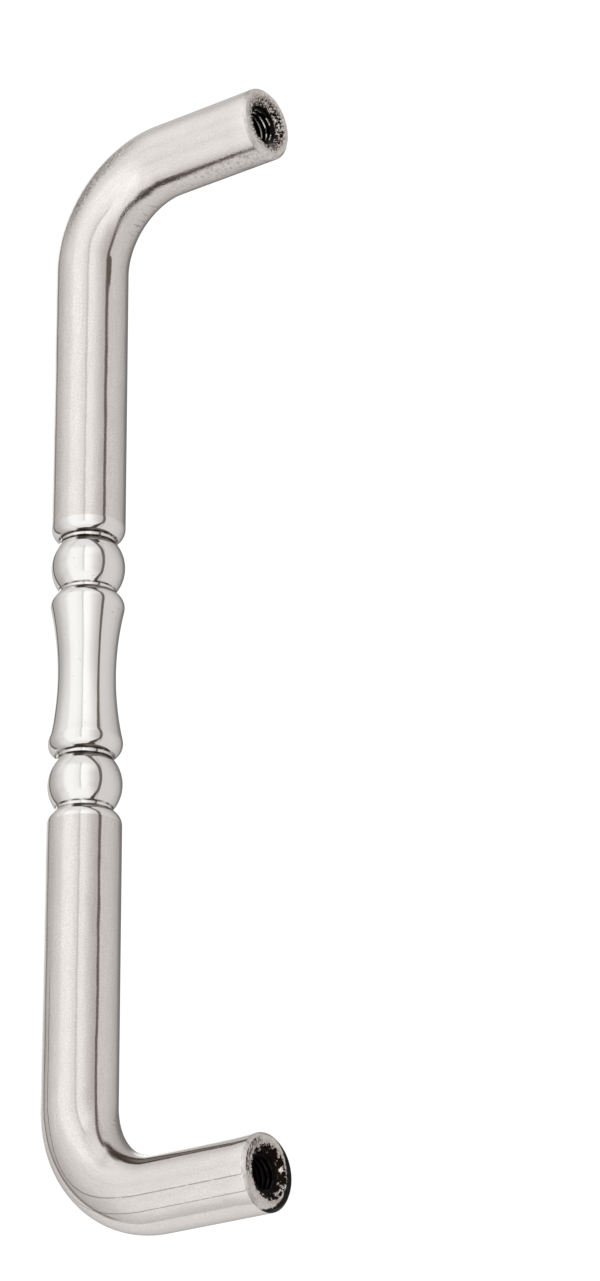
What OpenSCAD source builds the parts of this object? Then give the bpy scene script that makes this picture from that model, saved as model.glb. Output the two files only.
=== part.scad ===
// Cabinet handle turned and bent from one solid stainless steel bar.
// The middle of the bar is turned to a waisted barrel between two ball beads.
// The two legs end in flat faces, each drilled and tapped for a machine screw
// that comes through the door from behind.
//
// The door lies on the plane y = 0 and the legs point along +Y to reach it.
// The bar stands along Z, and the origin is midway between the two screw holes.
// All sizes are in millimetres.

/* [Bar] */
// Diameter of the round bar
bar_d = 10; // [9:0.5:14]
// Distance between the two screw holes, centre to centre
hole_spacing = 145; // [112:1:256]
// Distance from the door to the axis of the bar
projection = 30.5; // [28:0.5:45]
// Radius of each bend, measured to the axis of the bar
bend_r = 13.5; // [11:0.5:16]

/* [Turned grip] */
// Length of the waisted barrel between its two inner grooves
barrel_len = 23; // [18:0.5:40]
// Depth of the barrel's waist below the surface of the bar
waist_depth = 1.05; // [0.4:0.05:1.4]
// Radius that rounds each end of the barrel
barrel_end_r = 2; // [1.5:0.1:3]
// Radius of the rounding across each bead
bead_r = 5.2; // [4:0.1:7]
// Radius that rounds the plain bar down to its groove
bar_end_r = 2; // [1.5:0.1:3]
// Depth of the four grooves below the surface of the bar
groove_depth = 1.25; // [0.6:0.05:1.4]
// Width of the flat floor of each groove
groove_w = 0.5; // [0.2:0.05:1.5]

/* [End faces] */
// Size of the chamfer round the edge of each end face
rim_chamfer = 0.45; // [0.2:0.05:0.6]
// Diameter of the countersink at the mouth of each screw hole
mouth_d = 6.8; // [6:0.1:7.5]
// Full angle of the countersink
mouth_angle = 90; // [60:5:120]
// Diameter that each screw hole is drilled to before tapping
tap_d = 4.2; // [3:0.1:5]
// Depth of each screw hole down to the tip of the drill's cylinder
tap_depth = 15; // [8:0.5:16]
// Point angle of the drill
drill_angle = 118; // [90:1:140]

/* [Hidden] */
$fn = 96;

steel = [0.80, 0.79, 0.77];

bar_r = bar_d / 2;
tap_r = tap_d / 2;
mouth_r = mouth_d / 2;

// Radius left at the floor of a groove
groove_r = bar_r - groove_depth;

// Straight stretches between the bends and the middle, and between the bends and the end faces
straight_half = hole_spacing / 2 - bend_r;
leg_len = projection - bend_r;

// Length along the bar over which a rounding of radius r falls from the surface to a groove's floor
function fall(r) = sqrt(r * r - (r - groove_depth) * (r - groove_depth));

// Heights above the middle of the bar
barrel_half = barrel_len / 2;
barrel_round_z = barrel_half - fall(barrel_end_r);
bead_z = barrel_half + groove_w + fall(bead_r);
bar_start_z = bead_z + fall(bead_r) + groove_w;
bar_round_z = bar_start_z + fall(bar_end_r);

// The waist is an arc that runs tangent into the roundings at both ends of the barrel
waist_r = (barrel_round_z * barrel_round_z + waist_depth * waist_depth) / (2 * waist_depth) - barrel_end_r;
waist_x = bar_r - waist_depth + waist_r;
// Angle at which the arc meets a rounding, and angle at which a rounding meets the groove's floor
meet_angle = atan(barrel_round_z / (waist_x - bar_r + barrel_end_r));
floor_angle = acos((barrel_end_r - groove_depth) / barrel_end_r);

// Steps in the outline of the barrel, for each rounding and for half of the waist
round_steps = 14;
waist_steps = 8;

// Lengths of the cones at the tip of the drill and at the mouth of the hole
drill_tip = tap_r / tan(drill_angle / 2);
mouth_depth = (mouth_r - tap_r) / tan(mouth_angle / 2);

// How far a cutter runs on past the face that it opens
past = 1;

// A disc of radius r in the half profile, whose outermost point lies on the surface of the bar at height z
module rounding(r, z) {
    translate([bar_r - r, z]) circle(r = r);
}

// Points along an arc of radius r round [x, z], at angles from the +X direction
function arc(x, z, r, from, to, steps) =
    [for (i = [0:steps]) let (a = from + (to - from) * i / steps) [x + r * cos(a), z + r * sin(a)]];

// Half of the barrel's outline, from the end of its rounding down to the middle of the waist
function barrel_half_outline() = concat(
    arc(bar_r - barrel_end_r, barrel_round_z, barrel_end_r, floor_angle, -meet_angle, round_steps),
    [for (i = [1:waist_steps]) let (a = 180 - meet_angle * (1 - i / waist_steps))
        [waist_x + waist_r * cos(a), waist_r * sin(a)]]);

// Half profile of the barrel: a waisted middle with a rounding at each end
module barrel_profile() {
    for (side = [0, 1]) mirror([0, side])
        polygon(concat([[0, 0], [0, barrel_half]], barrel_half_outline()));
}

// Half profile of the straight bar from bend to bend, cut off at the axis
module grip_profile() {
    intersection() {
        union() {
            // core at the depth of the grooves
            translate([0, -bar_round_z]) square([groove_r, 2 * bar_round_z]);
            barrel_profile();
            for (side = [-1, 1]) {
                rounding(bead_r, side * bead_z);
                rounding(bar_end_r, side * bar_round_z);
            }
            for (side = [0, 1]) mirror([0, side])
                translate([0, bar_round_z]) square([bar_r, straight_half - bar_round_z]);
        }
        translate([0, -straight_half]) square([bar_d, 2 * straight_half]);
    }
}

// The straight bar with its turned middle, standing on its own axis
module grip() {
    rotate_extrude() grip_profile();
}

// One quarter bend from the top of the straight bar round to the start of the leg
module bend() {
    translate([0, bend_r, straight_half]) rotate([90, 0, -90])
        rotate_extrude(angle = 90) translate([bend_r, 0]) circle(r = bar_r);
}

// One leg from the end of the bend to the end face, with the edge of the face chamfered
module leg() {
    rotate([-90, 0, 0]) rotate_extrude() polygon([
        [0, -leg_len], [bar_r, -leg_len], [bar_r, -rim_chamfer], [bar_r - rim_chamfer, 0], [0, 0]
    ]);
}

// Cutter for a blind tapped hole whose countersunk mouth is in the end face
module screw_hole() {
    rotate([-90, 0, 0]) rotate_extrude() polygon([
        [0, -tap_depth - drill_tip], [tap_r, -tap_depth], [tap_r, -mouth_depth],
        [mouth_r, 0], [mouth_r, past], [0, past]
    ]);
}

// The whole handle
module handle() {
    color(steel) difference() {
        union() {
            translate([0, -projection, 0]) {
                grip();
                for (side = [0, 1]) mirror([0, 0, side]) bend();
            }
            for (side = [-1, 1]) translate([0, 0, side * hole_spacing / 2]) leg();
        }
        for (side = [-1, 1]) translate([0, 0, side * hole_spacing / 2]) screw_hole();
    }
}

handle();
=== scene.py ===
# Cabinet handle bent from one solid bar of stainless steel, with a turned grip.
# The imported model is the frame; this script gives it its fine shapes, finish, light and camera.
from math import acos, atan, atan2, cos, hypot, pi, radians, sin, sqrt

import bmesh
import bpy
from mathutils import Matrix, Vector, noise


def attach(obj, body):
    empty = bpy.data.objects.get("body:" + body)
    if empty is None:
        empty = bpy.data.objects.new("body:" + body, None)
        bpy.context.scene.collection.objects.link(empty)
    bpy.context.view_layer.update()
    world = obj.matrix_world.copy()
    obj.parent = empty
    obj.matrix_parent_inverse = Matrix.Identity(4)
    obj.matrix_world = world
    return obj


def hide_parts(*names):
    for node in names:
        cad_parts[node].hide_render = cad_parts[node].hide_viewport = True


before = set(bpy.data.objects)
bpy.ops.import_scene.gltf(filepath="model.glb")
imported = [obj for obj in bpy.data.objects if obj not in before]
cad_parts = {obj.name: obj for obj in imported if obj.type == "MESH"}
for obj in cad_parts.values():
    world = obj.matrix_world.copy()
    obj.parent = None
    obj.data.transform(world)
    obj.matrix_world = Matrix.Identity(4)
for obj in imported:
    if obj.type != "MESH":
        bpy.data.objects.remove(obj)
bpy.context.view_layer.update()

# Every length in this script is given in millimetres and made metres by this factor
MM = 0.001

# The bar and its two bends
BAR_R = 5.0
HOLE_SPACING = 145.0
PROJECTION = 30.5
BEND_R = 13.5
STRAIGHT_HALF = HOLE_SPACING / 2 - BEND_R
LEG_LENGTH = PROJECTION - BEND_R
# Lengths along the bar's axis, from the middle of the grip to the middle and end of a bend
BEND_MIDDLE = STRAIGHT_HALF + BEND_R * pi / 4
BEND_END = STRAIGHT_HALF + BEND_R * pi / 2

# The turned grip: a waisted barrel between two beads, with a groove on each side of each bead
BARREL_HALF = 11.5
WAIST_DEPTH = 1.05
BARREL_END_R = 2.0
BEAD_R = 5.2
BAR_END_R = 2.0
GROOVE_DEPTH = 1.25
GROOVE_WIDTH = 0.5
GROOVE_CORNER_R = 0.07

# The end faces, and the screw hole in each, tapped M5
RIM_CHAMFER = 0.45
FACE_R = BAR_R - RIM_CHAMFER
FILED_EDGE = 0.1
MOUTH_R = 3.4
THREAD_ROOT_R = 2.5
THREAD_CREST_R = 2.12
MOUTH_DEPTH = MOUTH_R - THREAD_ROOT_R
CREST_ROUND = 0.16
THREAD_PITCH = 0.8
THREAD_START = 0.45
THREAD_DEPTH = 13.4
TAPPED_DEPTH = THREAD_DEPTH + 0.2
DRILL_R = 2.1
DRILL_DEPTH = 15.0
DRILL_POINT = 1.26
# Size of the flat that closes the drill's point, beside the size of the hole
POINT_FLAT = 0.02

# The torn metal round each countersink: how deep and wide, how far it is pushed about by
# coarse and fine noise, and how many waves of each go into a millimetre
TORN_DEPTH = 1.3
TORN_WIDTH = 0.75
COARSE_TEAR = 0.17
FINE_TEAR = 0.15
COARSE_WAVES = 1.6
FINE_WAVES = 4.5
# Seed of the noise that tears it, so that it comes out the same each run
TEAR_SEED = 5

# Facets round the bar, round a quarter bend and round one turn of thread
ROUND_STEPS = 144
BEND_STEPS = 40
THREAD_STEPS = 40

# Points closer than this are one point, where an outline is turned and where halves are joined
WELD = 0.002
JOIN_WELD = 0.003

# The photograph's camera, from a fit to the handle's outline
LENS = 121.553
SENSOR_WIDTH = 36
CAMERA_PLACE = (406.251, 315.389, -209.346)
CAMERA_RIGHT = (-0.608286, 0.793707, -0.004227)
CAMERA_UP = (0.293682, 0.230014, 0.927817)
CAMERA_BACK = (0.737387, 0.563136, -0.373012)


def metres(*lengths):
    return Vector(lengths) * MM


def fall(radius):
    # length along the bar over which a rounding drops from the surface to a groove's floor
    return sqrt(radius ** 2 - (radius - GROOVE_DEPTH) ** 2)


def fall_angle(radius):
    return acos((radius - GROOVE_DEPTH) / radius)


# Geometry of the grip's outline, worked out from the sizes above
GROOVE_R = BAR_R - GROOVE_DEPTH
BARREL_ROUND_Z = BARREL_HALF - fall(BARREL_END_R)
BEAD_Z = BARREL_HALF + GROOVE_WIDTH + fall(BEAD_R)
BAR_START_Z = BEAD_Z + fall(BEAD_R) + GROOVE_WIDTH
BAR_ROUND_Z = BAR_START_Z + fall(BAR_END_R)
INNER_GROOVE_Z = BARREL_HALF + GROOVE_WIDTH / 2
OUTER_GROOVE_Z = BAR_START_Z - GROOVE_WIDTH / 2
WAIST_R = (BARREL_ROUND_Z ** 2 + WAIST_DEPTH ** 2) / (2 * WAIST_DEPTH) - BARREL_END_R
WAIST_X = BAR_R - WAIST_DEPTH + WAIST_R


def verts_of(items):
    return [item for item in items if isinstance(item, bmesh.types.BMVert)]


def edges_of(items):
    return [item for item in items if isinstance(item, bmesh.types.BMEdge)]


class Outline:
    # A chain of edges in the plane through the bar's axis, drawn on from its last point

    def __init__(self, bm, radius, height):
        self.bm = bm
        self.tip = bm.verts.new(metres(radius, -PROJECTION, height))

    def line_to(self, radius, height, steps=1):
        start = self.tip.co.copy()
        end = metres(radius, -PROJECTION, height)
        for step in range(steps):
            made = bmesh.ops.extrude_vert_indiv(self.bm, verts=[self.tip])
            self.tip = made["verts"][0]
            self.tip.co = start.lerp(end, (step + 1) / steps)

    def arc(self, radius, height, angle, steps):
        # a positive angle turns from the bar's surface towards its upper end
        made = bmesh.ops.spin(self.bm, geom=[self.tip], cent=metres(radius, -PROJECTION, height),
                              axis=(0, 1, 0), angle=-angle, steps=steps)
        self.tip = verts_of(made["geom_last"])[0]


def draw_grip_outline(bm):
    # upper half of the bar's outline, from the middle of the waist to the start of the bend
    meet = atan(BARREL_ROUND_Z / (WAIST_X - BAR_R + BARREL_END_R))
    outline = Outline(bm, BAR_R - WAIST_DEPTH, 0)
    outline.arc(WAIST_X, 0, -meet, steps=20)
    outline.arc(BAR_R - BARREL_END_R, BARREL_ROUND_Z, meet + fall_angle(BARREL_END_R), steps=16)
    corners = [outline.tip]
    outline.line_to(GROOVE_R, BARREL_HALF + GROOVE_WIDTH)
    corners.append(outline.tip)
    outline.arc(BAR_R - BEAD_R, BEAD_Z, 2 * fall_angle(BEAD_R), steps=30)
    corners.append(outline.tip)
    outline.line_to(GROOVE_R, BAR_START_Z)
    corners.append(outline.tip)
    outline.arc(BAR_R - BAR_END_R, BAR_ROUND_Z, fall_angle(BAR_END_R), steps=14)
    outline.line_to(BAR_R, STRAIGHT_HALF, steps=8)
    # the turning tool leaves a small radius in each corner of the grooves
    bmesh.ops.bevel(bm, geom=corners, offset=GROOVE_CORNER_R * MM, offset_type="OFFSET", segments=3,
                    profile=0.5, affect="VERTICES", material=-1)


def draw_on(bm, ring, along, scale=1.0, steps=1):
    # pulls the open ring on along the leg, and narrows or widens it about the leg's axis
    step_scale = scale ** (1 / steps)
    axis = Matrix.Translation(-metres(0, 0, HOLE_SPACING / 2))
    for _ in range(steps):
        made = bmesh.ops.extrude_edge_only(bm, edges=ring)["geom"]
        verts = verts_of(made)
        ring = [edge for edge in edges_of(made) if edge.is_boundary]
        bmesh.ops.translate(bm, verts=verts, vec=metres(0, along / steps, 0))
        bmesh.ops.scale(bm, verts=verts, vec=(step_scale, 1, step_scale), space=axis)
    return ring


def build_half(bm):
    # the upper half of the handle: half the grip, the bend, the leg and its tapped end
    draw_grip_outline(bm)
    bmesh.ops.spin(bm, geom=bm.edges[:], cent=metres(0, -PROJECTION, 0), axis=(0, 0, 1),
                   angle=2 * pi, steps=ROUND_STEPS, use_merge=True)
    bmesh.ops.remove_doubles(bm, verts=bm.verts[:], dist=WELD * MM)
    # the ring at the top of the straight bar goes round the bend
    ring = [edge for edge in bm.edges if edge.is_boundary
            and all(vert.co.z > (STRAIGHT_HALF - 0.01) * MM for vert in edge.verts)]
    made = bmesh.ops.spin(bm, geom=ring, cent=metres(0, -LEG_LENGTH, STRAIGHT_HALF), axis=(1, 0, 0),
                          angle=-pi / 2, steps=BEND_STEPS)
    ring = draw_on(bm, edges_of(made["geom_last"]), LEG_LENGTH - RIM_CHAMFER, steps=6)
    ring = draw_on(bm, ring, RIM_CHAMFER, FACE_R / BAR_R)
    # end face, in from the rim to the edge of the countersink
    ring = draw_on(bm, ring, 0, MOUTH_R / FACE_R, steps=5)
    # countersink, in short steps so that its torn edge can be shaped
    ring = draw_on(bm, ring, -MOUTH_DEPTH, THREAD_ROOT_R / MOUTH_R, steps=6)
    # hole, down to the end of the thread, then the bare drilled length and the drill's point
    ring = draw_on(bm, ring, MOUTH_DEPTH - TAPPED_DEPTH, steps=4)
    ring = draw_on(bm, ring, 0, DRILL_R / THREAD_ROOT_R)
    ring = draw_on(bm, ring, TAPPED_DEPTH - DRILL_DEPTH)
    ring = draw_on(bm, ring, -DRILL_POINT * (1 - POINT_FLAT), POINT_FLAT)
    bmesh.ops.holes_fill(bm, edges=ring, sides=ROUND_STEPS)


def unbent(co):
    # where a point would lie if the bar were straightened again: across, across, along
    side = 1 if co.z >= 0 else -1
    height = abs(co.z)
    if height <= STRAIGHT_HALF:
        return Vector((co.x, co.y + PROJECTION, co.z))
    if co.y < -LEG_LENGTH:
        reach = hypot(co.y + LEG_LENGTH, height - STRAIGHT_HALF)
        turn = atan2(height - STRAIGHT_HALF, -(co.y + LEG_LENGTH))
        return Vector((co.x, BEND_R - reach, side * (STRAIGHT_HALF + BEND_R * turn)))
    return Vector((co.x, HOLE_SPACING / 2 - height, side * (BEND_END + LEG_LENGTH + co.y)))


def leg_reach(co):
    # distance of a point from the axis of the leg at its end
    return hypot(co.x, abs(co.z) - HOLE_SPACING / 2)


def on_rim(edge, radius, depth):
    # whether an edge lies on the circle of this radius about a leg, this deep below its end
    places = [vert.co / MM for vert in edge.verts]
    return all(abs(leg_reach(co) - radius) < 0.01 and abs(co.y + depth) < 0.01 for co in places)


def tear_mouths(bm):
    # the countersinks were cut by hand: their edges are torn and chattered
    noise.seed_set(TEAR_SEED)
    for vert in bm.verts:
        co = vert.co / MM
        reach = leg_reach(co)
        if co.y < -TORN_DEPTH or not THREAD_ROOT_R - 0.05 < reach < MOUTH_R + TORN_WIDTH:
            continue
        # strongest along the edge of the countersink, gone at the thread and on the clean face
        at_edge = 1 - abs(reach - MOUTH_R + 0.1) / 0.85
        amount = max(0.0, min(1.0, at_edge * 1.5))
        # the noise is moved aside for the lower hole, so that the two are torn differently
        start = Vector((3.0 if co.z > 0 else -3.0, 7.0, 1.0))
        coarse = noise.noise_vector(co * COARSE_WAVES + start)
        fine = noise.noise_vector(co * FINE_WAVES + start)
        co = co + (coarse * COARSE_TEAR + fine * FINE_TEAR) * amount
        # nothing stands out past the end face
        co.y = min(co.y, -0.002)
        vert.co = co * MM


# Finishes of the bar, in the order of its material slots; a lower one follows its upper one
SATIN, POLISHED, UPPER_FACE, LOWER_FACE, UPPER_MOUTH, LOWER_MOUTH, UPPER_BORE, LOWER_BORE = range(8)


def finish_of(face):
    # which finish a face has, from where it lies; torn edges stray a little past their circles
    co = face.calc_center_median() / MM
    if abs(co.z) < BAR_ROUND_Z + 0.4:
        return POLISHED
    reach = leg_reach(co)
    if co.y < -LEG_LENGTH or reach > BAR_R - 0.02:
        return SATIN
    lower = 0 if co.z > 0 else 1
    if reach > MOUTH_R + 0.12:
        return UPPER_FACE + lower
    if reach > THREAD_ROOT_R + 0.04 and co.y > -1.2:
        return UPPER_MOUTH + lower
    return UPPER_BORE + lower


def finish_mesh(bm, name, sharp_angle):
    bmesh.ops.recalc_face_normals(bm, faces=bm.faces[:])
    for face in bm.faces:
        face.smooth = True
    mesh = bpy.data.meshes.new(name)
    bm.to_mesh(mesh)
    bm.free()
    mesh.set_sharp_from_angle(angle=radians(sharp_angle))
    return mesh


def build_bar():
    bm = bmesh.new()
    build_half(bm)
    bmesh.ops.mirror(bm, geom=bm.verts[:] + bm.edges[:] + bm.faces[:], matrix=Matrix.Identity(4),
                     merge_dist=JOIN_WELD * MM, axis="Z")
    bmesh.ops.remove_doubles(bm, verts=bm.verts[:], dist=WELD * MM)
    # the edges of the chamfered rims are broken with a file
    rims = [edge for edge in bm.edges
            if on_rim(edge, BAR_R, RIM_CHAMFER) or on_rim(edge, FACE_R, 0)]
    bmesh.ops.bevel(bm, geom=rims, offset=FILED_EDGE * MM, offset_type="OFFSET", segments=3,
                    profile=0.5, affect="EDGES", material=-1)
    tear_mouths(bm)
    for face in bm.faces:
        face.material_index = finish_of(face)
    lay = bm.verts.layers.float_vector.new("unbent")
    for vert in bm.verts:
        vert[lay] = unbent(vert.co / MM)
    return finish_mesh(bm, "steel_bar", 38)


def build_thread(side):
    # one ridge of thread wound down the hole, a closed coil whose foot is sunk in the wall
    bm = bmesh.new()
    half_foot = THREAD_PITCH * 0.46
    foot_r = THREAD_ROOT_R + 0.05
    centre_z = side * HOLE_SPACING / 2
    # the crest is worn round
    crest = [(THREAD_CREST_R + CREST_ROUND * (1 - cos(radians(turn))), CREST_ROUND * sin(radians(turn)))
             for turn in (-60, -30, 0, 30, 60)]
    tooth = [(foot_r, -half_foot), *crest, (foot_r, half_foot)]
    corners = [bm.verts.new(metres(radius, along - half_foot - THREAD_START, centre_z))
               for radius, along in tooth]
    cut = bm.faces.new(corners)
    turns = (THREAD_DEPTH - THREAD_START - 2 * half_foot) / THREAD_PITCH
    steps = int(turns * THREAD_STEPS)
    bmesh.ops.spin(bm, geom=[cut], cent=metres(0, 0, centre_z), axis=(0, 1, 0),
                   dvec=metres(0, -THREAD_PITCH / THREAD_STEPS, 0),
                   angle=2 * pi * steps / THREAD_STEPS, steps=steps)
    # the first and last turns run out into the wall, and the first starts in the countersink
    for vert in bm.verts:
        co = vert.co / MM
        out = Vector((co.x, 0, co.z - centre_z))
        depth = -THREAD_START - co.y
        fade_in = depth / (0.6 * THREAD_PITCH)
        fade_out = (THREAD_DEPTH - THREAD_START - depth) / THREAD_PITCH
        fade = max(0.0, min(1.0, fade_in, fade_out))
        reach = wall_r = max(foot_r, MOUTH_R + co.y + 0.05)
        if out.length <= foot_r - 0.01:
            reach += (out.length - wall_r) * (0.15 + 0.85 * fade)
        out = out.normalized() * reach
        vert.co = metres(out.x, co.y, centre_z + out.z)
    return finish_mesh(bm, "screw_thread", 30)


def place(name, mesh, *finishes):
    # a visible piece of the handle, which moves with its one body
    piece = bpy.data.objects.new(name, mesh)
    bpy.context.scene.collection.objects.link(piece)
    for finish in finishes:
        mesh.materials.append(finish)
    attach(piece, "root")
    return piece


class Nodes:
    # a node tree, with short calls for the nodes that this handle's finishes are made of

    def __init__(self, tree):
        self.tree = tree

    def set(self, socket, value):
        if isinstance(value, bpy.types.NodeSocket):
            self.tree.links.new(value, socket)
        elif isinstance(value, tuple) and socket.type == "RGBA":
            socket.default_value = value + (1,)
        else:
            socket.default_value = value

    def new(self, kind, **settings):
        node = self.tree.nodes.new(kind)
        for name, value in settings.items():
            setattr(node, name, value)
        return node

    def math(self, operation, first, second=0.0, third=0.0):
        node = self.new("ShaderNodeMath", operation=operation)
        for socket, value in zip(node.inputs, (first, second, third)):
            self.set(socket, value)
        return node.outputs[0]

    def times(self, product, *others):
        for other in others:
            product = self.math("MULTIPLY", product, other)
        return product

    def away(self, value, centre):
        # how far a value is from the centre, either way
        return self.math("ABSOLUTE", self.math("SUBTRACT", value, centre))

    def vector_math(self, operation, first, second=(0, 0, 0)):
        node = self.new("ShaderNodeVectorMath", operation=operation)
        self.set(node.inputs[0], first)
        self.set(node.inputs[1], second)
        return node.outputs["Value" if operation in ("DOT_PRODUCT", "LENGTH") else "Vector"]

    def toward(self, direction, aim):
        # 1 where the direction points at the aim, less all round it
        return self.vector_math("DOT_PRODUCT", direction, aim)

    def ease(self, value, low, high, at_low=0.0, at_high=1.0):
        # a soft step from at_low to at_high while the value goes from low to high
        node = self.new("ShaderNodeMapRange", interpolation_type="SMOOTHSTEP")
        for socket, item in zip(node.inputs, (value, low, high, at_low, at_high)):
            self.set(socket, item)
        return node.outputs[0]

    def stretch(self, vector, scale, location=(0, 0, 0)):
        node = self.new("ShaderNodeMapping")
        self.set(node.inputs["Vector"], vector)
        node.inputs["Scale"].default_value = scale
        node.inputs["Location"].default_value = location
        return node.outputs[0]

    def noise(self, vector, scale, detail=3.0, roughness=0.5):
        node = self.new("ShaderNodeTexNoise")
        self.set(node.inputs["Vector"], vector)
        self.set(node.inputs["Scale"], scale)
        node.inputs["Detail"].default_value = detail
        node.inputs["Roughness"].default_value = roughness
        return node.outputs["Fac"]

    def mix(self, factor, first, second, blend="MIX"):
        node = self.new("ShaderNodeMix", data_type="RGBA", blend_type=blend)
        self.set(node.inputs["Factor"], factor)
        self.set(node.inputs["A"], first)
        self.set(node.inputs["B"], second)
        return node.outputs["Result"]

    def xyz(self, vector):
        node = self.new("ShaderNodeSeparateXYZ")
        self.set(node.inputs[0], vector)
        return node.outputs

    def turn_about_z(self, parts):
        # degrees from +X towards +Y
        return self.math("DEGREES", self.math("ARCTAN2", parts["Y"], parts["X"]))

    def join(self, x, y, z):
        node = self.new("ShaderNodeCombineXYZ")
        for socket, value in zip(node.inputs, (x, y, z)):
            self.set(socket, value)
        return node.outputs[0]

    def ramp(self, value, stops):
        node = self.new("ShaderNodeValToRGB")
        self.set(node.inputs[0], value)
        elements = node.color_ramp.elements
        while len(elements) < len(stops):
            elements.new(0.5)
        for element, (position, colour) in zip(elements, stops):
            element.position = position
            element.color = colour + (1,)
        return node.outputs[0]


VALUE, VECTOR = "NodeSocketFloat", "NodeSocketVector"


def new_group(name, inputs, outputs):
    # an effect shared by several finishes, given a place and sizes, which puts out values
    tree = bpy.data.node_groups.new(name, "ShaderNodeTree")
    tree.interface.new_socket("Vector", in_out="INPUT", socket_type=VECTOR)
    for label, value in inputs:
        tree.interface.new_socket(label, in_out="INPUT", socket_type=VALUE).default_value = value
    for label in outputs:
        tree.interface.new_socket(label, in_out="OUTPUT", socket_type=VALUE)
    nodes = Nodes(tree)
    return tree, nodes, nodes.new("NodeGroupInput").outputs, nodes.new("NodeGroupOutput").inputs


def use_group(nodes, tree, **values):
    node = nodes.new("ShaderNodeGroup", node_tree=tree)
    for name, value in values.items():
        nodes.set(node.inputs[name.replace("_", " ")], value)
    return node.outputs


def make_grain_group():
    # fine speckle and long rubbing marks of a satin or polished bar, on unbent coordinates
    tree, nodes, given, out = new_group("bar_grain", [("Speckle size", 0.2), ("Mark length", 8.0)],
                                        ["Speckle", "Marks", "Turning"])
    per_mm = nodes.math("DIVIDE", 1.0, given["Speckle size"])
    parts = nodes.xyz(given["Vector"])
    along = nodes.math("DIVIDE", parts["Z"], given["Mark length"])
    streak_place = nodes.join(parts["X"], parts["Y"], along)
    nodes.set(out["Speckle"], nodes.noise(given["Vector"], per_mm, 2.0, 0.6))
    nodes.set(out["Marks"], nodes.noise(streak_place, 3.2, 3.0, 0.6))
    nodes.set(out["Turning"], nodes.noise(nodes.join(0.0, 0.0, parts["Z"]), 5.0, 2.0, 0.7))
    return tree


def make_smudge_group():
    # wide, faint patches left by handling
    tree, nodes, given, out = new_group("handling_smudges", [("Patch size", 6.0)], ["Patches"])
    per_mm = nodes.math("DIVIDE", 1.0, given["Patch size"])
    squeezed = nodes.vector_math("MULTIPLY", given["Vector"], (1.0, 1.0, 0.45))
    nodes.set(out["Patches"], nodes.ease(nodes.noise(squeezed, per_mm, 3.0, 0.55), 0.38, 0.68))
    return tree


def make_pit_group():
    # torn pits and dirt in cut metal, with how deep they are
    tree, nodes, given, out = new_group("torn_pits", [("Pit size", 0.3), ("Amount", 0.5)],
                                        ["Pits", "Height"])
    per_mm = nodes.math("DIVIDE", 1.0, given["Pit size"])
    torn = nodes.noise(given["Vector"], per_mm, 3.0, 0.65)
    edge = nodes.math("SUBTRACT", 1.0, given["Amount"])
    low = nodes.math("MULTIPLY_ADD", edge, 0.5, 0.2)
    nodes.set(out["Pits"], nodes.ease(torn, low, nodes.math("ADD", low, 0.08)))
    nodes.set(out["Height"], nodes.math("SUBTRACT", 1.0, torn))
    return tree


GRAIN = make_grain_group()
SMUDGES = make_smudge_group()
PITS = make_pit_group()


def new_finish(name, metallic=1.0):
    material = bpy.data.materials.new(name)
    material.use_nodes = True
    shader = material.node_tree.nodes["Principled BSDF"]
    shader.inputs["Metallic"].default_value = metallic
    return material, Nodes(material.node_tree), shader


def unbent_place(nodes):
    return nodes.new("ShaderNodeAttribute", attribute_name="unbent").outputs["Vector"]


def bump(nodes, shader, height, strength, distance):
    node = nodes.new("ShaderNodeBump")
    node.inputs["Strength"].default_value = strength
    node.inputs["Distance"].default_value = distance * MM
    nodes.set(node.inputs["Height"], height)
    nodes.set(shader.inputs["Normal"], node.outputs[0])


def painted_reflection_line(nodes, parts, turn, angle, swing_angle, width):
    # a painted reflection: a thin dark line along the lower end of the bar, at one angle
    # round the bar, which swings outwards on its way through the bend
    swing = nodes.ease(nodes.away(parts["Z"], -70.0), 0.0, 9.0, swing_angle, 0.0)
    off_line = nodes.away(nodes.math("ADD", turn, swing), angle)
    broken = nodes.ease(nodes.noise(nodes.join(angle, 0.0, parts["Z"]), 0.7, 3.0, 0.7), 0.24, 0.50)
    return nodes.times(nodes.ease(off_line, width, width * 0.3), broken)


def gripped_smear(nodes, place_on_bar, parts, turn):
    # a grey smear where the outside of the upper bend was gripped
    off_smear = nodes.away(turn, -16.0)
    along_smear = nodes.away(parts["Z"], 71.0)
    grain = nodes.noise(nodes.stretch(place_on_bar, (1.0, 1.0, 0.6)), 4.0, 3.0, 0.75)
    return nodes.times(nodes.ease(off_smear, 22.0, 5.0), nodes.ease(along_smear, 11.0, 3.0),
                       nodes.ease(grain, 0.34, 0.62))


def bend_wrinkles_and_shade(nodes, place_on_bar, up_bar, turn):
    # the metal is pressed into short wrinkles across the inside of each bend; the same mask also
    # darkens their colour as painted shade in the creases
    off_bend = nodes.away(up_bar, BEND_MIDDLE)
    off_inside = nodes.away(turn, 103.0)
    wrinkles_and_shade = nodes.noise(nodes.stretch(place_on_bar, (0.5, 0.8, 2.4)), 1.0, 3.0, 0.6)
    return nodes.times(nodes.ease(wrinkles_and_shade, 0.53, 0.68, 0.0, 0.8), nodes.ease(off_bend, 10.0, 2.0),
                       nodes.ease(off_inside, 23.0, 6.0))


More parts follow.
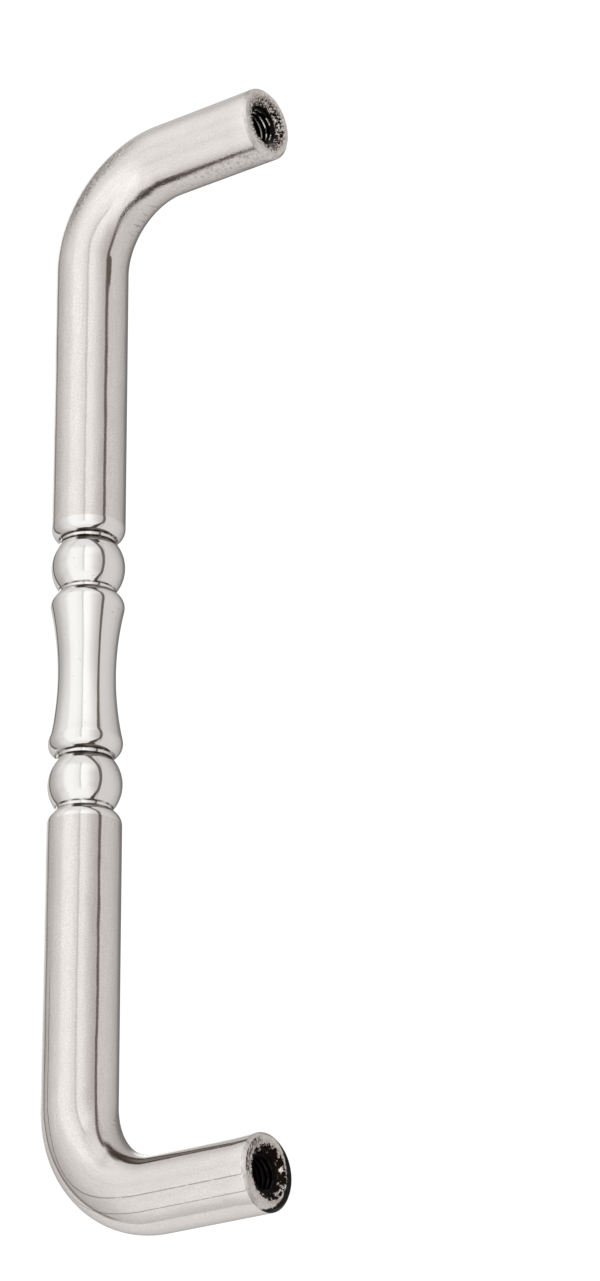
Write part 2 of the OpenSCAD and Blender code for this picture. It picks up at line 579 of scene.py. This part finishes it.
def satin_steel():
    # the bends, legs and plain lengths of the bar, rubbed to a fine satin along their length
    material, nodes, shader = new_finish("satin_steel")
    place_on_bar = unbent_place(nodes)
    parts = nodes.xyz(place_on_bar)
    up_bar = nodes.math("ABSOLUTE", parts["Z"])
    turn = nodes.turn_about_z(parts)
    grain = use_group(nodes, GRAIN, Vector=place_on_bar, Speckle_size=0.16, Mark_length=9.0)
    smudges = use_group(nodes, SMUDGES, Vector=place_on_bar, Patch_size=5.0)
    colour = nodes.mix(nodes.ease(grain["Speckle"], 0.3, 0.7), (0.755, 0.720, 0.700),
                       (0.935, 0.898, 0.875))
    rubbed = nodes.ease(grain["Marks"], 0.38, 0.68, 0.0, 0.20)
    colour = nodes.mix(rubbed, colour, (0.62, 0.58, 0.555))
    # the side towards the door is left coarser than the side that shows
    past_bend = nodes.ease(up_bar, 60.0, 72.0)
    inner_side = nodes.times(nodes.ease(parts["Y"], 3.6, 4.7), past_bend)
    coarse = nodes.times(nodes.ease(nodes.noise(place_on_bar, 4.2, 2.0, 0.7), 0.40, 0.64), inner_side)
    colour = nodes.mix(nodes.times(coarse, 0.34), colour, (0.50, 0.465, 0.445))
    # painted shade: the flank of the straight bar is darkened a little beside its front
    painted_flank_shade = nodes.times(nodes.ease(turn, 18.0, 36.0), nodes.ease(turn, 66.0, 56.0),
                        nodes.math("SUBTRACT", 1.0, past_bend), 0.15)
    colour = nodes.mix(painted_flank_shade, colour, (0.10, 0.09, 0.085))
    smear = gripped_smear(nodes, place_on_bar, parts, turn)
    colour = nodes.mix(smear, colour, (0.20, 0.185, 0.18))
    wrinkles_and_shade = bend_wrinkles_and_shade(nodes, place_on_bar, up_bar, turn)
    # painted shade in the creases of the wrinkles
    colour = nodes.mix(wrinkles_and_shade, colour, (0.14, 0.12, 0.11))
    # painted shade in blotches on the underside of the upper leg, and smudges all over
    upper_end = nodes.times(nodes.ease(parts["Z"], 74.0, 92.0), nodes.ease(parts["Y"], 3.9, 4.9))
    painted_shade_blotches = nodes.ease(nodes.noise(place_on_bar, 1.6, 4.0, 0.7), 0.46, 0.62)
    colour = nodes.mix(nodes.times(painted_shade_blotches, upper_end, 0.75), colour, (0.30, 0.27, 0.25))
    colour = nodes.mix(nodes.times(smudges["Patches"], 0.45), colour, (0.765, 0.722, 0.695))
    # painted reflection: two thin dark lines down the lower end of the bar
    painted_reflection_lines = nodes.math("MAXIMUM", painted_reflection_line(nodes, parts, turn, -14.0, 13.0, 1.3),
                       painted_reflection_line(nodes, parts, turn, -38.0, 12.0, 1.1))
    painted_reflection_lines = nodes.times(painted_reflection_lines, nodes.ease(parts["Z"], -38.0, -48.0), 0.80)
    colour = nodes.mix(painted_reflection_lines, colour, (0.20, 0.17, 0.15))
    # painted light: the legs' colour is made a little brighter than the bar's
    painted_light_on_legs = nodes.ease(up_bar, 66.0, 80.0, 0.0, 0.13)
    nodes.set(shader.inputs["Base Color"], nodes.mix(painted_light_on_legs, colour, (1.6, 1.56, 1.53)))
    # fine scratches on the side that shows scatter a little of the light
    nodes.set(shader.inputs["Metallic"], nodes.ease(parts["Y"], 0.5, 3.0, 0.83, 1.0))
    rough = nodes.ease(grain["Marks"], 0.3, 0.7, 0.03, 0.06)
    rough = nodes.math("MULTIPLY_ADD", smudges["Patches"], 0.03, rough)
    nodes.set(shader.inputs["Roughness"], nodes.math("MULTIPLY_ADD", inner_side, 0.09, rough))
    # the bar isn't quite straight after bending, and its reflections waver
    waver = nodes.noise(nodes.stretch(place_on_bar, (1.0, 1.0, 0.5)), 0.30, 1.0, 0.4)
    height = nodes.times(grain["Marks"], 0.06)
    height = nodes.math("MULTIPLY_ADD", grain["Speckle"], 0.08, height)
    height = nodes.math("MULTIPLY_ADD", coarse, 0.12, height)
    height = nodes.math("MULTIPLY_ADD", wrinkles_and_shade, -1.2, height)
    bump(nodes, shader, nodes.math("MULTIPLY_ADD", waver, 1.6, height), 1.0, 0.04)
    return material


def polished_steel():
    # the turned grip, polished in the lathe
    material, nodes, shader = new_finish("polished_steel")
    place_on_bar = unbent_place(nodes)
    grain = use_group(nodes, GRAIN, Vector=place_on_bar, Speckle_size=0.25, Mark_length=4.0)
    smudges = use_group(nodes, SMUDGES, Vector=place_on_bar, Patch_size=3.0)
    pits = use_group(nodes, PITS, Vector=place_on_bar, Pit_size=0.5, Amount=0.07)
    colour = nodes.mix(nodes.times(smudges["Patches"], 0.25), (0.90, 0.885, 0.875),
                       (0.85, 0.825, 0.81))
    colour = nodes.mix(nodes.times(pits["Pits"], 0.7), colour, (0.30, 0.27, 0.25))
    # polishing paste stays in the corners of the grooves, and their darkening there is also painted
    # shade
    up_bar = nodes.math("ABSOLUTE", nodes.xyz(place_on_bar)["Z"])
    off_middle = nodes.math("MINIMUM", nodes.away(up_bar, INNER_GROOVE_Z),
                            nodes.away(up_bar, OUTER_GROOVE_Z))
    off_corner = nodes.away(off_middle, 0.27)
    paste_and_shade = nodes.times(nodes.ease(off_corner, 0.17, 0.05),
                        nodes.ease(nodes.noise(place_on_bar, 0.8, 3.0, 0.6), 0.34, 0.60, 0.25, 1.0))
    nodes.set(shader.inputs["Base Color"], nodes.mix(paste_and_shade, colour, (0.10, 0.08, 0.07)))
    rough = nodes.ease(grain["Turning"], 0.3, 0.7, 0.03, 0.055)
    nodes.set(shader.inputs["Roughness"], nodes.math("MULTIPLY_ADD", paste_and_shade, 0.2, rough))
    waver = nodes.noise(nodes.stretch(place_on_bar, (1.0, 1.0, 0.6)), 0.35, 1.0, 0.4)
    height = nodes.math("MULTIPLY_ADD", grain["Speckle"], 0.03, nodes.times(grain["Turning"], 0.06))
    bump(nodes, shader, nodes.math("MULTIPLY_ADD", waver, 0.8, height), 1.0, 0.04)
    return material


def across_leg(nodes, vector):
    return nodes.vector_math("MULTIPLY", vector, (1.0, 0.0, 1.0))


def leg_place(nodes, side):
    # coordinates in millimetres about the axis of one leg, and the distance from it
    coordinates = nodes.new("ShaderNodeTexCoord").outputs["Object"]
    about_leg = nodes.stretch(coordinates, (1 / MM,) * 3, (0, 0, -side * HOLE_SPACING / 2))
    return about_leg, nodes.vector_math("LENGTH", across_leg(nodes, about_leg))


def end_face_steel(name, side, streak_amount, pit_amount, soot, tone):
    # ground end of a leg: streaks that run out from the hole, pits, and soot from the cutting
    material, nodes, shader = new_finish(name)
    about_leg, reach = leg_place(nodes, side)
    grain = use_group(nodes, GRAIN, Vector=about_leg, Speckle_size=0.14, Mark_length=1.0)
    pits = use_group(nodes, PITS, Vector=about_leg, Pit_size=0.32, Amount=pit_amount)
    cloud = nodes.noise(about_leg, 0.9, 3.0, 0.6)
    colour = nodes.mix(nodes.ease(grain["Speckle"], 0.3, 0.7), (0.72, 0.68, 0.64), (0.92, 0.89, 0.86))
    colour = nodes.mix(tone, colour, (1.0, 0.97, 0.94))
    colour = nodes.mix(nodes.ease(cloud, 0.42, 0.68, 0.0, 0.45), colour, (0.60, 0.53, 0.49))
    # file marks run up the face, darkest near its rim on the side turned to +X and upwards
    outward = nodes.vector_math("NORMALIZE", across_leg(nodes, about_leg))
    marked = nodes.times(nodes.ease(nodes.toward(outward, (0.90, 0.0, 0.44)), 0.62, 0.86),
                         nodes.ease(reach, 3.55, 3.95), nodes.ease(reach, 4.62, 4.52))
    low = nodes.math("MULTIPLY_ADD", marked, -0.10, 0.54)
    marks = nodes.noise(nodes.stretch(about_leg, (6.0, 1.0, 1.5)), 1.0, 3.0, 0.65)
    marks = nodes.ease(marks, low, nodes.math("ADD", low, 0.07))
    strength = nodes.math("MULTIPLY_ADD", marked, streak_amount * 0.75, streak_amount * 0.25)
    colour = nodes.mix(nodes.times(marks, strength), colour, (0.07, 0.055, 0.045))
    # brown stains and pits round the hole
    stained = nodes.times(nodes.ease(cloud, 0.40, 0.60, 0.2, 0.75), nodes.ease(reach, 4.2, 3.5))
    colour = nodes.mix(stained, colour, (0.52, 0.41, 0.355))
    pitted = nodes.times(pits["Pits"], nodes.ease(reach, 4.5, 3.4))
    colour = nodes.mix(pitted, colour, (0.09, 0.06, 0.05))
    # soot lies in a crescent on the side turned away from +X
    off_centre = nodes.vector_math("SUBTRACT", about_leg, (1.55, 0.0, 0.25))
    off_centre = nodes.vector_math("LENGTH", across_leg(nodes, off_centre))
    off_centre = nodes.math("MULTIPLY_ADD", grain["Speckle"], 0.5, off_centre)
    off_centre = nodes.math("MULTIPLY_ADD", cloud, 0.4, off_centre)
    sooty = nodes.times(nodes.ease(off_centre, 5.45, 5.65), soot)
    nodes.set(shader.inputs["Base Color"], nodes.mix(sooty, colour, (0.012, 0.011, 0.010)))
    nodes.set(shader.inputs["Roughness"], nodes.ease(grain["Speckle"], 0.3, 0.7, 0.28, 0.42))
    bump(nodes, shader, nodes.math("MULTIPLY_ADD", pits["Height"], 0.8, grain["Speckle"]), 0.5, 0.05)
    return material


def torn_steel(name, side, dirt, tear_size):
    # torn metal of a countersink, bright where it broke and dark where dirt and oil stayed, with
    # painted shade at its foot
    material, nodes, shader = new_finish(name)
    about_leg, reach = leg_place(nodes, side)
    pits = use_group(nodes, PITS, Vector=about_leg, Pit_size=tear_size, Amount=dirt)
    grain = use_group(nodes, GRAIN, Vector=about_leg, Speckle_size=0.2, Mark_length=1.0)
    colour = nodes.mix(nodes.ease(grain["Speckle"], 0.35, 0.65), (0.60, 0.50, 0.44), (1.0, 0.98, 0.95))
    # black round the foot of the countersink, where it goes into the hole: oil left there, and painted
    # shade
    dark = nodes.math("MAXIMUM", pits["Pits"], nodes.ease(reach, 2.85, 2.6))
    nodes.set(shader.inputs["Base Color"], nodes.mix(dark, colour, (0.015, 0.010, 0.008)))
    nodes.set(shader.inputs["Roughness"], nodes.ease(pits["Pits"], 0.0, 1.0, 0.14, 0.5))
    bump(nodes, shader, pits["Height"], 1.0, 0.16)
    return material


def tapped_steel(name, side, painted_glint, roughness):
    # oiled thread, black with oil and painted shade, but for the worn crests whose colour is a painted
    # highlight near the mouth
    material, nodes, shader = new_finish(name)
    about_leg, reach = leg_place(nodes, side)
    depth = nodes.xyz(about_leg)["Y"]
    # painted highlight on the crests, fading into painted shade deeper in the hole
    crest = nodes.times(nodes.ease(reach, 2.30, 2.20),
                        nodes.ease(nodes.noise(about_leg, 0.55, 3.0, 0.7), 0.42, 0.56),
                        nodes.ease(depth, -3.6, -1.2, 0.0, painted_glint))
    nodes.set(shader.inputs["Base Color"], nodes.mix(crest, (0.010, 0.008, 0.008), (1.0, 0.98, 0.95)))
    shader.inputs["Roughness"].default_value = roughness
    return material


bar_finishes = [
    satin_steel(), polished_steel(),
    end_face_steel("upper_end_face", 1, streak_amount=0.25, pit_amount=0.44, soot=0.0, tone=0.6),
    end_face_steel("lower_end_face", -1, streak_amount=1.0, pit_amount=0.15, soot=1.0, tone=0.2),
    torn_steel("upper_torn_mouth", 1, dirt=0.50, tear_size=0.36),
    torn_steel("lower_torn_mouth", -1, dirt=0.58, tear_size=0.85),
    # the upper thread gets a strong painted highlight on its crests, the lower one almost none
    tapped_steel("upper_tapped_hole", 1, painted_glint=1.0, roughness=0.09),
    tapped_steel("lower_tapped_hole", -1, painted_glint=0.03, roughness=0.5),
]

bar = place("steel_bar", build_bar(), *bar_finishes)
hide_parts("handle")
place("upper_thread", build_thread(1), bar_finishes[UPPER_BORE])
place("lower_thread", build_thread(-1), bar_finishes[LOWER_BORE])


def lay_floor():
    # pale studio floor in metres, far below the handle, which hangs free as it would on a door
    bm = bmesh.new()
    bmesh.ops.create_circle(bm, cap_ends=True, segments=96, radius=30.0)
    bmesh.ops.translate(bm, verts=bm.verts[:], vec=(0, 0, -1.4))
    mesh = bpy.data.meshes.new("studio_floor")
    bm.to_mesh(mesh)
    bm.free()
    floor = bpy.data.objects.new("studio_floor", mesh)
    bpy.context.scene.collection.objects.link(floor)
    material, nodes, shader = new_finish("pale_floor", metallic=0.0)
    cloud = nodes.noise(nodes.new("ShaderNodeTexCoord").outputs["Object"], 1.5, 3.0, 0.5)
    nodes.set(shader.inputs["Base Color"],
              nodes.mix(nodes.ease(cloud, 0.3, 0.7), (0.90, 0.90, 0.89), (0.93, 0.93, 0.92)))
    shader.inputs["Roughness"].default_value = 0.9
    mesh.materials.append(material)
    # the steel mirrors the light tent all round, not the floor
    floor.visible_glossy = False


def bright_wall(nodes, direction, parts, beyond):
    # the tent's wall towards +X, brightest in the middle, and lit higher up and lower down too
    toward_key = nodes.toward(direction, (0.987, 0.162, 0.0))
    toward_key = nodes.math("MULTIPLY_ADD", beyond, 0.75, toward_key)
    wall = nodes.ramp(nodes.math("MULTIPLY_ADD", toward_key, 0.5, 0.5), [
        (0.500, (0.47, 0.45, 0.44)),
        (0.575, (0.51, 0.495, 0.48)),
        (0.632, (0.56, 0.545, 0.53)),
        (0.690, (0.62, 0.605, 0.59)),
        (0.775, (0.76, 0.75, 0.735)),
        (0.842, (0.89, 0.88, 0.87)),
        (0.898, (1.00, 1.00, 0.99)),
        (0.940, (1.02, 1.02, 1.01)),
        (0.965, (1.045, 1.045, 1.035)),
    ])
    # its two lit panels end above and below
    azimuth = nodes.turn_about_z(parts)
    past_panels = nodes.math("MAXIMUM", nodes.ease(parts["Z"], 0.62, 0.80, 0.0, 0.45),
                             nodes.ease(parts["Z"], -0.72, -0.90, 0.0, 0.3))
    past_panels = nodes.times(past_panels, nodes.ease(azimuth, -45.0, -25.0))
    wall = nodes.mix(past_panels, wall, nodes.mix(1.0, wall, (0.64, 0.63, 0.615), "DARKEN"))
    # the first panel is darker at its edge and fades towards the seam between the two
    level = nodes.times(nodes.ease(parts["Z"], -0.55, -0.35), nodes.ease(parts["Z"], 0.84, 0.72))
    edge = nodes.math("SUBTRACT", nodes.ease(azimuth, -17.0, -30.0, 0.0, 0.15),
                      nodes.ease(azimuth, -30.0, -56.0, 0.0, 0.09))
    fading = nodes.times(nodes.ease(azimuth, 0.0, 27.0, 0.0, 0.10), nodes.ease(azimuth, 30.0, 27.0),
                         level)
    seam = nodes.times(nodes.ease(nodes.away(azimuth, 26.5), 4.5, 1.0, 0.0, 0.18), level)
    for shade in (edge, fading, seam):
        wall = nodes.mix(shade, wall, (0.0, 0.0, 0.0))
    second_panel = nodes.times(nodes.ease(azimuth, 28.0, 32.0),
                               nodes.ease(azimuth, 62.0, 38.0, 0.0, 0.08), level)
    return nodes.mix(second_panel, wall, (2.0, 2.0, 1.98))


def grey_wall(nodes, direction):
    # the tent's greyer wall towards -X, falling off to the dark mouth of the tent
    toward_mouth = nodes.toward(direction, (-0.855, -0.352, 0.382))
    return nodes.ramp(nodes.math("MULTIPLY_ADD", toward_mouth, 0.5, 0.5), [
        (0.600, (0.70, 0.69, 0.68)),
        (0.750, (0.65, 0.635, 0.625)),
        (0.850, (0.555, 0.54, 0.53)),
        (0.920, (0.48, 0.465, 0.455)),
        (0.955, (0.33, 0.315, 0.31)),
        (0.980, (0.235, 0.225, 0.22)),
        (1.000, (0.20, 0.19, 0.185)),
    ])


def dark_cloth(nodes, parts, steep, gap):
    # in the gap between the walls, soft towards the bright one and sharp towards the other
    door_side = nodes.ease(parts["Y"], 0.0, 0.12)
    in_gap = nodes.times(nodes.ease(gap, 0.10, 0.03), nodes.ease(gap, -0.085, -0.045),
                         nodes.ease(steep, 0.62, 0.45), nodes.math("SUBTRACT", 1.0, door_side))
    # on the door's side it runs on up and down to openings in roof and floor, leaning out and
    # widening below
    lean = nodes.times(nodes.ease(parts["Z"], -0.35, -0.75, 0.0, 0.09),
                       nodes.ease(parts["Z"], -1.0, -0.85))
    lean = nodes.math("ADD", lean, nodes.ease(parts["Z"], 0.60, 0.95, 0.0, 0.08))
    off_strip = nodes.math("SUBTRACT", nodes.math("SUBTRACT", parts["X"], 0.015), lean)
    off_strip = nodes.times(off_strip, nodes.ease(parts["Z"], -0.60, -0.85, 1.0, 0.65))
    strip = nodes.ease(nodes.math("ABSOLUTE", off_strip), 0.10, 0.045)
    return nodes.math("MAXIMUM", in_gap, nodes.times(strip, door_side))


def opening(nodes, direction, centre, low, high, across, cut_from, cut_to):
    # a soft round opening in the tent, cut off straight on one side
    inside = nodes.ease(nodes.toward(direction, centre), low, high)
    return nodes.times(inside, nodes.ease(nodes.toward(direction, across), cut_to, cut_from))


def unlit_room(nodes, parts, ray_depth):
    # where the steel mirrors itself, its far side shows the unlit room behind the door
    again = nodes.math("GREATER_THAN", ray_depth, 2.5)
    lit_above = nodes.times(nodes.ease(parts["Z"], 0.0, 0.3),
                            nodes.ease(parts["Y"], 0.35, 0.62, 0.0, 0.3))
    return nodes.times(again, nodes.ease(parts["Y"], -0.35, 0.0),
                       nodes.math("SUBTRACT", 1.0, lit_above))


def hang_light_tent():
    # white tent round the handle: a bright wall towards +X, a dark gap, then a greyer wall
    world = bpy.data.worlds.new("light_tent")
    world.use_nodes = True
    bpy.context.scene.world = world
    world.node_tree.nodes.clear()
    nodes = Nodes(world.node_tree)
    direction = nodes.new("ShaderNodeTexCoord").outputs["Generated"]
    parts = nodes.xyz(direction)
    rays = nodes.new("ShaderNodeLightPath").outputs
    steep = nodes.math("ABSOLUTE", parts["Z"])
    beyond = nodes.math("MAXIMUM", nodes.math("SUBTRACT", steep, 0.3), 0.0)
    gap = nodes.math("MULTIPLY_ADD", beyond, 0.2, parts["X"])
    wall = nodes.mix(nodes.ease(gap, -0.045, -0.075), bright_wall(nodes, direction, parts, beyond),
                     grey_wall(nodes, direction))
    cloth = nodes.mix(nodes.ease(parts["Z"], -0.35, -0.85), (0.16, 0.14, 0.125), (0.08, 0.066, 0.058))
    wall = nodes.mix(dark_cloth(nodes, parts, steep, gap), wall, cloth)
    # an opening in the floor, and a smaller one in the roof
    openings = nodes.math("MAXIMUM",
                          opening(nodes, direction, (-0.13, -0.03, -0.991), 0.93, 0.985,
                                  across=(-0.88, 0.48, 0.0), cut_from=0.16, cut_to=0.24),
                          opening(nodes, direction, (-0.19, -0.17, 0.967), 0.925, 0.975,
                                  across=(-1.0, 0.2, 0.0), cut_from=0.15, cut_to=0.25))
    wall = nodes.mix(openings, wall, (0.065, 0.052, 0.045))
    # white sheet behind the handle, seen in the far rim of the bar
    sheet = nodes.times(nodes.ease(nodes.toward(direction, (-0.452, -0.723, 0.522)), 0.925, 0.965),
                        nodes.ease(parts["Z"], 0.70, 0.60))
    wall = nodes.mix(sheet, wall, (1.15, 1.15, 1.14))
    room = nodes.mix(nodes.ease(parts["Y"], 0.45, 0.75), (0.075, 0.058, 0.048), (0.17, 0.15, 0.135))
    wall = nodes.mix(unlit_room(nodes, parts, rays["Ray Depth"]), wall, room)
    tent = nodes.new("ShaderNodeBackground")
    nodes.set(tent.inputs["Color"], wall)
    # the camera sees plain white, which also lights the floor
    plain = nodes.new("ShaderNodeBackground")
    nodes.set(plain.inputs["Color"], (1.0, 1.0, 1.0))
    plain.inputs["Strength"].default_value = 1.06
    pick = nodes.new("ShaderNodeMixShader")
    seen = nodes.math("MAXIMUM", rays["Is Camera Ray"], rays["Is Diffuse Ray"])
    for socket, value in zip(pick.inputs, (seen, tent.outputs[0], plain.outputs[0])):
        nodes.set(socket, value)
    output = nodes.new("ShaderNodeOutputWorld")
    nodes.set(output.inputs["Surface"], pick.outputs[0])


def set_camera():
    # from below and to the side, with the whole handle in an upright frame
    camera_data = bpy.data.cameras.new("camera")
    camera_data.lens = LENS
    camera_data.sensor_width = SENSOR_WIDTH
    camera_data.clip_start = 0.01
    camera_data.clip_end = 100
    camera = bpy.data.objects.new("camera", camera_data)
    bpy.context.scene.collection.objects.link(camera)
    turn = Matrix((CAMERA_RIGHT, CAMERA_UP, CAMERA_BACK)).transposed().to_4x4()
    camera.matrix_world = Matrix.Translation(metres(*CAMERA_PLACE)) @ turn
    bpy.context.scene.camera = camera


lay_floor()
hang_light_tent()
set_camera()
bpy.context.scene.view_settings.view_transform = "Standard"
bpy.context.scene.view_settings.look = "None"
